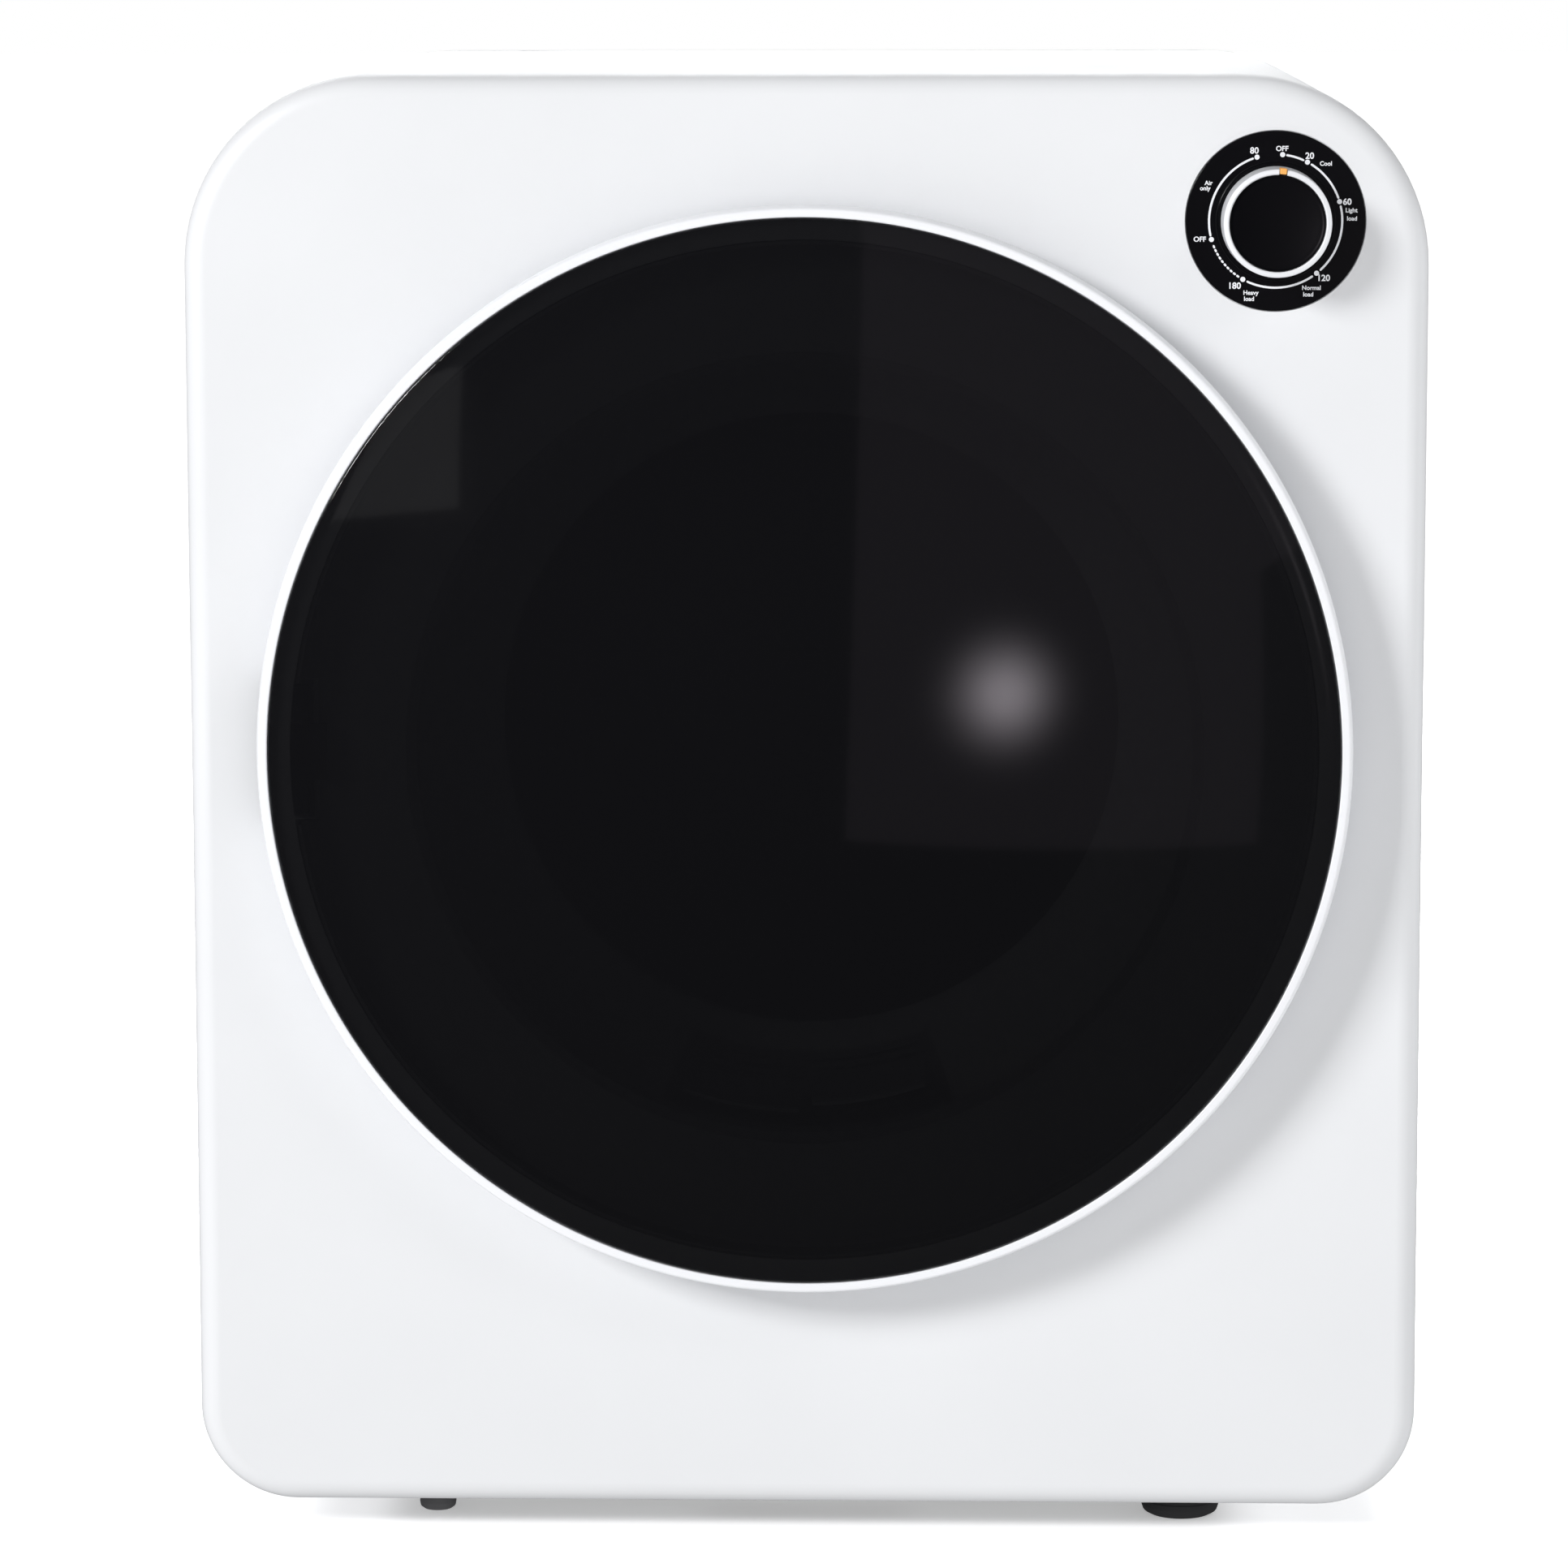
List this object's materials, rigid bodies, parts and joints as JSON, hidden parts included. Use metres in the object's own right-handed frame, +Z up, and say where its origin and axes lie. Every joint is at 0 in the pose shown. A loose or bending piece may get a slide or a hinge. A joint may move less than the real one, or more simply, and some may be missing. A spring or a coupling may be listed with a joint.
{
  "type": "clothes dryer",
  "caption": "Compact vented drum dryer: round side-hinged door with a smoked domed lens, timer knob on the front, four feet, rear exhaust spigot, belt-driven drum and fan inside.",
  "frame": {"origin": "on the floor, under the middle of the bounding box", "axes": "+Z up, the front with the door faces -Y, +X to the right as seen from the front"},
  "size_m": [0.59, 0.584, 0.705],
  "materials": {
    "white_plastic": "smooth gloss white moulding",
    "white_steel": "white enamelled sheet, fine orange peel",
    "galvanised": "zinc coated sheet with faint spangle",
    "stainless": "brushed drum sheet",
    "smoked_lens": "smoked, polished",
    "window": "clear, polished",
    "black_plastic": "satin black",
    "grey_plastic": "satin grey moulding",
    "rubber": "moulded black rubber",
    "felt": "pressed felt",
    "steel": "plain steel",
    "motor": "dark painted motor casing",
    "silver": "white-silver skirt",
    "orange": "orange pointer"
  },
  "bodies": {
    "cabinet": {"front_panel": "white_plastic", "cabinet_wrap": "white_steel", "base_pan": "galvanised", "rear_cover": "galvanised", "top_brace": "galvanised", "front_bulkhead": "white_steel", "bulkhead_felt": "felt", "mouth_funnel": "white_steel", "heater_grille": "grey_plastic", "heater_duct": "galvanised", "ptc_heater": "steel", "thermostat": "black_plastic", "cord_gland": "black_plastic", "motor_body": "motor", "motor_mount": "galvanised", "capacitor": "silver", "drum_belt": "rubber", "fan_belt": "rubber", "idler_bracket": "galvanised", "idler_spring": "steel", "bearing_bracket": "galvanised", "drum_bearing": "steel", "rear_seal": "felt", "fan_housing": "galvanised", "fan_spindle": "steel", "exhaust_spigot": "grey_plastic", "hinge_bracket": "steel", "hinge_pin": "steel", "door_strike": "grey_plastic", "door_switch": "black_plastic", "timer_dial": "black_plastic", "timer_unit": "grey_plastic", "foot_front_right": "rubber", "foot_rear_left": "rubber", "foot_rear_right": "rubber", "levelling_nut": "steel"},
    "door": {"door_ring": "white_plastic", "door_lens": "smoked_lens", "door_liner": "grey_plastic", "door_window": "window", "door_seal": "rubber", "latch_hook": "grey_plastic", "hinge_leaf": "steel"},
    "drum": {"drum_shell": "stainless", "drum_back": "stainless", "drum_shaft": "steel", "lifter_1": "grey_plastic", "lifter_2": "grey_plastic", "lifter_3": "grey_plastic"},
    "filter": {"lint_filter": "grey_plastic"},
    "rotor": {"motor_rotor": "steel"},
    "fan": {"fan_impeller": "grey_plastic", "fan_pulley": "black_plastic"},
    "idler_arm_body": {"idler_arm": "galvanised"},
    "idler_wheel_body": {"idler_wheel": "grey_plastic"},
    "knob": {"timer_knob": "silver", "knob_face": "black_plastic", "knob_pointer": "orange"},
    "plunger": {"switch_plunger": "grey_plastic"},
    "levelling_foot": {"foot_front_left": "grey_plastic"}
  },
  "joints": [
    {"name": "door_hinge", "type": "hinge", "parent": "cabinet", "child": "door", "pos_m": [-0.252, -0.24, 0.3847], "axis": [0, 0, -1], "range_deg": [0, 135]},
    {"name": "drum_spin", "type": "hinge", "parent": "cabinet", "child": "drum", "pos_m": [0, 0, 0.3847], "axis": [0, 1, 0], "continuous": true},
    {"name": "motor_spin", "type": "hinge", "parent": "cabinet", "child": "rotor", "pos_m": [0.19, 0, 0.095], "axis": [0, 1, 0], "continuous": true},
    {"name": "fan_spin", "type": "hinge", "parent": "cabinet", "child": "fan", "pos_m": [0, 0, 0.3847], "axis": [0, 1, 0], "continuous": true},
    {"name": "idler_arm_swing", "type": "hinge", "parent": "cabinet", "child": "idler_arm_body", "pos_m": [0.15, 0, 0.042], "axis": [0, 1, 0], "range_deg": [-12, 0], "stiffness_Nm_per_rad": 4, "springref_deg": 4.58},
    {"name": "idler_spin", "type": "hinge", "parent": "idler_arm_body", "child": "idler_wheel_body", "pos_m": [0.1, 0, 0.082], "axis": [0, 1, 0], "continuous": true},
    {"name": "lint_filter_pull", "type": "slide", "parent": "drum", "child": "filter", "axis": [0, -1, 0], "range_m": [0, 0.08]},
    {"name": "timer_knob_turn", "type": "hinge", "parent": "cabinet", "child": "knob", "pos_m": [0.222, 0, 0.6362], "axis": [0, 1, 0], "range_deg": [0, 338]},
    {"name": "door_switch_travel", "type": "slide", "parent": "cabinet", "child": "plunger", "axis": [0, -1, 0], "range_m": [0, 0.004]},
    {"name": "levelling_foot_turn", "type": "hinge", "parent": "cabinet", "child": "levelling_foot", "pos_m": [-0.183, -0.178, 0.01], "axis": [0, 0, 1], "continuous": true}
  ],
  "couplings": [
    {"joint": "motor_spin", "follows": "drum_spin", "ratio": 27.895},
    {"joint": "fan_spin", "follows": "drum_spin", "ratio": 9.298},
    {"joint": "idler_spin", "follows": "drum_spin", "ratio": -19.63},
    {"joint": "door_switch_travel", "follows": "door_hinge", "m_per_rad": 0.0016}
  ]
}
